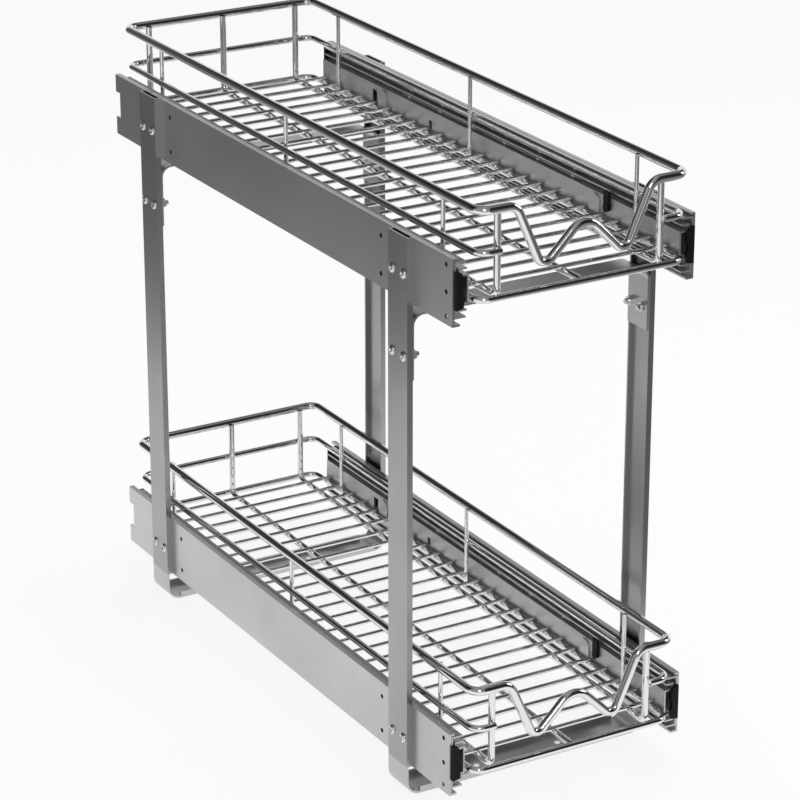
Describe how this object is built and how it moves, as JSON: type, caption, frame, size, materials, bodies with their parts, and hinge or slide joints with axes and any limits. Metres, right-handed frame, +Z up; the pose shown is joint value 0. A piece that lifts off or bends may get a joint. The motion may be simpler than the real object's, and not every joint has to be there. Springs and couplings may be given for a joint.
{
  "type": "pull-out cabinet basket organiser",
  "caption": "Two-tier chrome wire basket organiser for a narrow cabinet: each basket pulls out of a steel frame on ball-bearing slides.",
  "frame": {"origin": "centre of the frame on the cabinet floor, under the base straps", "axes": "+Z up, the baskets pull out towards -Y, +X to the right seen from the front"},
  "size_m": [0.2062, 0.5326, 0.4568],
  "materials": {
    "chrome_wire": "bright chrome plate on round wire",
    "frame_steel": "satin zinc-plated sheet",
    "slide_steel": "bright zinc-plated rolled steel",
    "clip_steel": "satin pressed steel",
    "bright_screws": "bright plated",
    "black_plastic": "black moulded plastic"
  },
  "bodies": {
    "frame": {"left_front_post": "frame_steel", "right_front_post": "frame_steel", "left_rear_post": "frame_steel", "right_rear_post": "frame_steel", "front_base_strap": "frame_steel", "rear_base_strap": "frame_steel", "front_cross_bracket": "frame_steel", "rear_cross_bracket": "frame_steel", "frame_screws": "bright_screws", "bracket_nuts": "bright_screws", "upper_left_side_plate": "frame_steel", "upper_left_outer_rail": "slide_steel", "upper_right_side_plate": "frame_steel", "upper_right_outer_rail": "slide_steel", "upper_rear_stops": "black_plastic", "lower_left_side_plate": "frame_steel", "lower_left_outer_rail": "slide_steel", "lower_right_side_plate": "frame_steel", "lower_right_outer_rail": "slide_steel", "lower_rear_stops": "black_plastic"},
    "upper_basket": {"upper_basket_rim": "chrome_wire", "upper_middle_ring": "chrome_wire", "upper_floor_ring": "chrome_wire", "upper_cross_wires": "chrome_wire", "upper_floor_runners": "chrome_wire", "upper_left_uprights": "chrome_wire", "upper_right_uprights": "chrome_wire", "upper_basket_clips": "clip_steel", "upper_front_end_caps": "black_plastic", "upper_left_inner_rail": "slide_steel", "upper_right_inner_rail": "slide_steel"},
    "upper_left_middle_slide": {"upper_left_middle_rail": "slide_steel"},
    "upper_left_outer_cage": {"upper_left_outer_ball_cage": "slide_steel"},
    "upper_left_inner_cage": {"upper_left_inner_ball_cage": "slide_steel"},
    "upper_left_lever": {"upper_left_release_lever": "black_plastic"},
    "upper_right_middle_slide": {"upper_right_middle_rail": "slide_steel"},
    "upper_right_outer_cage": {"upper_right_outer_ball_cage": "slide_steel"},
    "upper_right_inner_cage": {"upper_right_inner_ball_cage": "slide_steel"},
    "upper_right_lever": {"upper_right_release_lever": "black_plastic"},
    "lower_basket": {"lower_basket_rim": "chrome_wire", "lower_middle_ring": "chrome_wire", "lower_floor_ring": "chrome_wire", "lower_cross_wires": "chrome_wire", "lower_floor_runners": "chrome_wire", "lower_left_uprights": "chrome_wire", "lower_right_uprights": "chrome_wire", "lower_basket_clips": "clip_steel", "lower_front_end_caps": "black_plastic", "lower_left_inner_rail": "slide_steel", "lower_right_inner_rail": "slide_steel"},
    "lower_left_middle_slide": {"lower_left_middle_rail": "slide_steel"},
    "lower_left_outer_cage": {"lower_left_outer_ball_cage": "slide_steel"},
    "lower_left_inner_cage": {"lower_left_inner_ball_cage": "slide_steel"},
    "lower_left_lever": {"lower_left_release_lever": "black_plastic"},
    "lower_right_middle_slide": {"lower_right_middle_rail": "slide_steel"},
    "lower_right_outer_cage": {"lower_right_outer_ball_cage": "slide_steel"},
    "lower_right_inner_cage": {"lower_right_inner_ball_cage": "slide_steel"},
    "lower_right_lever": {"lower_right_release_lever": "black_plastic"}
  },
  "joints": [
    {"name": "upper_basket_slide", "type": "slide", "parent": "frame", "child": "upper_basket", "axis": [0, -1, 0], "range_m": [0, 0.43]},
    {"name": "upper_left_middle_rail_slide", "type": "slide", "parent": "frame", "child": "upper_left_middle_slide", "axis": [0, -1, 0], "range_m": [0, 0.215]},
    {"name": "upper_left_outer_cage_slide", "type": "slide", "parent": "frame", "child": "upper_left_outer_cage", "axis": [0, -1, 0], "range_m": [0, 0.1075]},
    {"name": "upper_left_inner_cage_slide", "type": "slide", "parent": "frame", "child": "upper_left_inner_cage", "axis": [0, -1, 0], "range_m": [0, 0.3225]},
    {"name": "upper_left_lever_turn", "type": "hinge", "parent": "upper_basket", "child": "upper_left_lever", "pos_m": [-0.0843, -0.166, 0.4015], "axis": [1, 0, 0], "range_deg": [0, 15], "stiffness_Nm_per_rad": 0.02},
    {"name": "upper_right_middle_rail_slide", "type": "slide", "parent": "frame", "child": "upper_right_middle_slide", "axis": [0, -1, 0], "range_m": [0, 0.215]},
    {"name": "upper_right_outer_cage_slide", "type": "slide", "parent": "frame", "child": "upper_right_outer_cage", "axis": [0, -1, 0], "range_m": [0, 0.1075]},
    {"name": "upper_right_inner_cage_slide", "type": "slide", "parent": "frame", "child": "upper_right_inner_cage", "axis": [0, -1, 0], "range_m": [0, 0.3225]},
    {"name": "upper_right_lever_turn", "type": "hinge", "parent": "upper_basket", "child": "upper_right_lever", "pos_m": [0.0843, -0.166, 0.4015], "axis": [1, 0, 0], "range_deg": [0, 15], "stiffness_Nm_per_rad": 0.02},
    {"name": "lower_basket_slide", "type": "slide", "parent": "frame", "child": "lower_basket", "axis": [0, -1, 0], "range_m": [0, 0.43]},
    {"name": "lower_left_middle_rail_slide", "type": "slide", "parent": "frame", "child": "lower_left_middle_slide", "axis": [0, -1, 0], "range_m": [0, 0.215]},
    {"name": "lower_left_outer_cage_slide", "type": "slide", "parent": "frame", "child": "lower_left_outer_cage", "axis": [0, -1, 0], "range_m": [0, 0.1075]},
    {"name": "lower_left_inner_cage_slide", "type": "slide", "parent": "frame", "child": "lower_left_inner_cage", "axis": [0, -1, 0], "range_m": [0, 0.3225]},
    {"name": "lower_left_lever_turn", "type": "hinge", "parent": "lower_basket", "child": "lower_left_lever", "pos_m": [-0.0843, -0.166, 0.0515], "axis": [1, 0, 0], "range_deg": [0, 15], "stiffness_Nm_per_rad": 0.02},
    {"name": "lower_right_middle_rail_slide", "type": "slide", "parent": "frame", "child": "lower_right_middle_slide", "axis": [0, -1, 0], "range_m": [0, 0.215]},
    {"name": "lower_right_outer_cage_slide", "type": "slide", "parent": "frame", "child": "lower_right_outer_cage", "axis": [0, -1, 0], "range_m": [0, 0.1075]},
    {"name": "lower_right_inner_cage_slide", "type": "slide", "parent": "frame", "child": "lower_right_inner_cage", "axis": [0, -1, 0], "range_m": [0, 0.3225]},
    {"name": "lower_right_lever_turn", "type": "hinge", "parent": "lower_basket", "child": "lower_right_lever", "pos_m": [0.0843, -0.166, 0.0515], "axis": [1, 0, 0], "range_deg": [0, 15], "stiffness_Nm_per_rad": 0.02}
  ],
  "couplings": [
    {"joint": "upper_left_middle_rail_slide", "follows": "upper_basket_slide", "ratio": 0.5},
    {"joint": "upper_left_outer_cage_slide", "follows": "upper_basket_slide", "ratio": 0.25},
    {"joint": "upper_left_inner_cage_slide", "follows": "upper_basket_slide", "ratio": 0.75},
    {"joint": "upper_right_middle_rail_slide", "follows": "upper_basket_slide", "ratio": 0.5},
    {"joint": "upper_right_outer_cage_slide", "follows": "upper_basket_slide", "ratio": 0.25},
    {"joint": "upper_right_inner_cage_slide", "follows": "upper_basket_slide", "ratio": 0.75},
    {"joint": "lower_left_middle_rail_slide", "follows": "lower_basket_slide", "ratio": 0.5},
    {"joint": "lower_left_outer_cage_slide", "follows": "lower_basket_slide", "ratio": 0.25},
    {"joint": "lower_left_inner_cage_slide", "follows": "lower_basket_slide", "ratio": 0.75},
    {"joint": "lower_right_middle_rail_slide", "follows": "lower_basket_slide", "ratio": 0.5},
    {"joint": "lower_right_outer_cage_slide", "follows": "lower_basket_slide", "ratio": 0.25},
    {"joint": "lower_right_inner_cage_slide", "follows": "lower_basket_slide", "ratio": 0.75}
  ]
}
